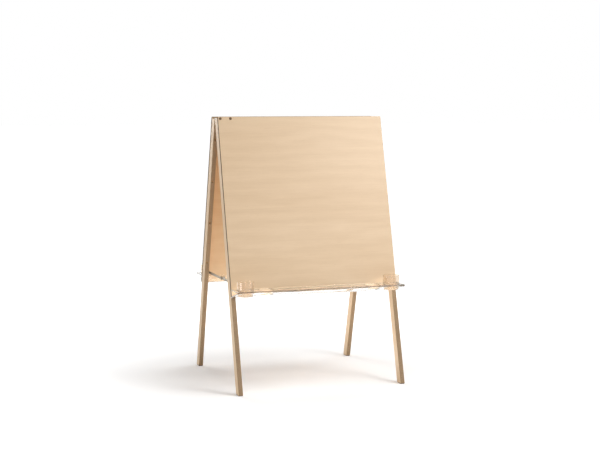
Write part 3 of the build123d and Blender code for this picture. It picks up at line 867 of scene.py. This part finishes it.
def hang_lamps(scene, studio):
    """Soft lamps, which the camera doesn't see."""
    for name, (kind, place, size, key) in LAMPS.items():
        light = bpy.data.lights.new(name, kind)
        light.energy = getattr(studio, key)
        setattr(light, "angle" if kind == "SUN" else "size", size)
        lamp = bpy.data.objects.new(name, light)
        lamp.location = place
        lamp.rotation_euler = (LIGHT_AIM - lamp.location).to_track_quat("-Z", "Y").to_euler()
        lamp.visible_camera = False
        scene.collection.objects.link(lamp)


def set_camera(scene, studio):
    """Camera at the photograph's viewing angle."""
    camera = bpy.data.cameras.new("camera")
    camera.lens = studio.lens
    camera.sensor_width = 36.0
    eye = bpy.data.objects.new("camera", camera)
    eye.location = studio.camera_place
    eye.rotation_euler = (math.radians(90) - studio.camera_dip, 0, -studio.camera_turn)
    scene.collection.objects.link(eye)
    scene.camera = eye


class EASEL_OT_boards(Operator):
    """Finish the two boards as lacquered birch plywood"""
    bl_idname = "easel.boards"
    bl_label = "Boards"

    def execute(self, context):
        sizes, colours = context.scene.easel_sizes, context.scene.easel_colours
        ply = sizes.board_thickness / sizes.board_plies
        for seed, (side, outward) in enumerate(SIDES):
            dress(f"{side}_panel", plywood(
                f"{side} board plywood", outward, colours, 1.7 * seed, "x", "through",
                sizes.board_back, ply, gloss=0.5))
        return {"FINISHED"}


class EASEL_OT_timber(Operator):
    """Finish legs and rails as birch plywood, and their dowels"""
    bl_idname = "easel.timber"
    bl_label = "Legs and rails"

    def execute(self, context):
        sizes, colours = context.scene.easel_sizes, context.scene.easel_colours
        dowel = dowel_wood("dowel birch", colours)
        rail_ply = (sizes.board_back - sizes.leg_back) / sizes.rail_plies
        leg_ply = sizes.leg_width / sizes.leg_plies
        for seed, (side, outward) in enumerate(SIDES):
            dress(f"{side}_rail_dowels", dowel)
            dress(f"{side}_top_rail", plywood(
                f"{side} rail plywood", outward, colours, 0.9 + seed, "x", "through",
                sizes.leg_back, rail_ply, gloss=0.1))
            for shift, name in enumerate(("left", "right")):
                dress(f"{side}_{name}_leg", plywood(
                    f"{side} {name} leg plywood", outward, colours, 0.31 + seed + 0.53 * shift,
                    "z", "x", HALF_WIDTH - sizes.leg_width, leg_ply, gloss=0.1))
        return {"FINISHED"}


class EASEL_OT_trays(Operator):
    """Build the clear trays"""
    bl_idname = "easel.trays"
    bl_label = "Trays"

    def execute(self, context):
        scene = context.scene
        sheet = clear_sheet(scene.easel_colours)
        for side, outward in SIDES:
            build_tray(side, outward, scene.easel_sizes, sheet)
        return {"FINISHED"}


class EASEL_OT_pots(Operator):
    """Build the four pots"""
    bl_idname = "easel.pots"
    bl_label = "Pots"

    def execute(self, context):
        scene = context.scene
        plastic = frosted_plastic(scene.easel_colours)
        for side, _ in SIDES:
            for name in ("left", "right"):
                build_pot(side, name, scene.easel_sizes, plastic)
        return {"FINISHED"}


class EASEL_OT_screws(Operator):
    """Build the cross-head screws of trays, boards and hinges"""
    bl_idname = "easel.screws"
    bl_label = "Screws"

    def execute(self, context):
        colours = context.scene.easel_colours
        zinc = metal("zinc screws", colours.zinc, 0.32)
        yellow = metal("yellow zinc screws", colours.yellow_zinc, 0.45)
        plating = {"tray": zinc, "panel": yellow, "hinge": zinc}
        for side, outward in SIDES:
            for kind, head, shank_radius, shank_length in SCREWS:
                place_screws(side, outward, kind, scaled_profile(head), shank_radius * MM,
                             shank_length * MM, plating[kind])
        return {"FINISHED"}


class EASEL_OT_metalwork(Operator):
    """Finish hinges, bolts, stays and washers"""
    bl_idname = "easel.metalwork"
    bl_label = "Hinges and stays"

    def execute(self, context):
        colours = context.scene.easel_colours
        zinc = metal("zinc plate", colours.zinc, 0.34)
        links = metal("stay plate", colours.stay, 0.42, grain=(250, 30, 250))
        caps = metal("bronzed caps", colours.cap, 0.40, metallic=0.6)
        for name in ("left", "right"):
            for node in ("hinge_front_leaf", "hinge_rear_leaf", "hinge_pin", "stay_front_pivot",
                         "stay_rear_pivot", "stay_rivet"):
                dress(f"{name}_{node}", zinc)
            for side, _ in SIDES:
                dress(f"{name}_stay_{side}_link", links)
        for side, _ in SIDES:
            dress(f"{side}_stay_washers", zinc)
            dress(f"{side}_hinge_bolts", caps)
        return {"FINISHED"}


class EASEL_OT_feet(Operator):
    """Finish the foot pads"""
    bl_idname = "easel.feet"
    bl_label = "Foot pads"

    def execute(self, context):
        pads = felt("pad felt", context.scene.easel_colours.pad)
        for side, _ in SIDES:
            for name in ("left", "right"):
                dress(f"{side}_{name}_foot", pads)
        return {"FINISHED"}


class EASEL_OT_stage(Operator):
    """Set up the pale floor, the soft lights and the camera"""
    bl_idname = "easel.stage"
    bl_label = "Studio"

    def execute(self, context):
        scene = context.scene
        studio = scene.easel_studio
        scene.view_settings.view_transform = "Standard"
        set_world(scene, studio)
        lay_floor(studio)
        hang_lamps(scene, studio)
        set_camera(scene, studio)
        return {"FINISHED"}


OPERATORS = (EASEL_OT_boards, EASEL_OT_timber, EASEL_OT_trays, EASEL_OT_pots, EASEL_OT_screws,
             EASEL_OT_metalwork, EASEL_OT_feet, EASEL_OT_stage)


class VIEW3D_PT_easel(Panel):
    """Sizes, colours and steps of the easel"""
    bl_label = "Easel"
    bl_idname = "VIEW3D_PT_easel"
    bl_space_type = "VIEW_3D"
    bl_region_type = "UI"
    bl_category = "Easel"

    def draw(self, context):
        layout = self.layout
        for operator in OPERATORS:
            layout.operator(operator.bl_idname)
        scene = context.scene
        for group in (scene.easel_sizes, scene.easel_colours, scene.easel_studio):
            box = layout.box()
            for key in group.__annotations__:
                box.prop(group, key)


CLASSES = (EaselSizes, EaselColours, EaselStudio, *OPERATORS, VIEW3D_PT_easel)


def register():
    """Adds the classes and their settings."""
    for item in CLASSES:
        bpy.utils.register_class(item)
    bpy.types.Scene.easel_sizes = PointerProperty(type=EaselSizes)
    bpy.types.Scene.easel_colours = PointerProperty(type=EaselColours)
    bpy.types.Scene.easel_studio = PointerProperty(type=EaselStudio)


def unregister():
    """Takes them away again."""
    del bpy.types.Scene.easel_sizes
    del bpy.types.Scene.easel_colours
    del bpy.types.Scene.easel_studio
    for item in reversed(CLASSES):
        bpy.utils.unregister_class(item)


def main():
    """Builds the easel and its studio."""
    register()
    for operator in OPERATORS:
        group, name = operator.bl_idname.split(".")
        getattr(getattr(bpy.ops, group), name)()


if __name__ == "__main__":
    main()
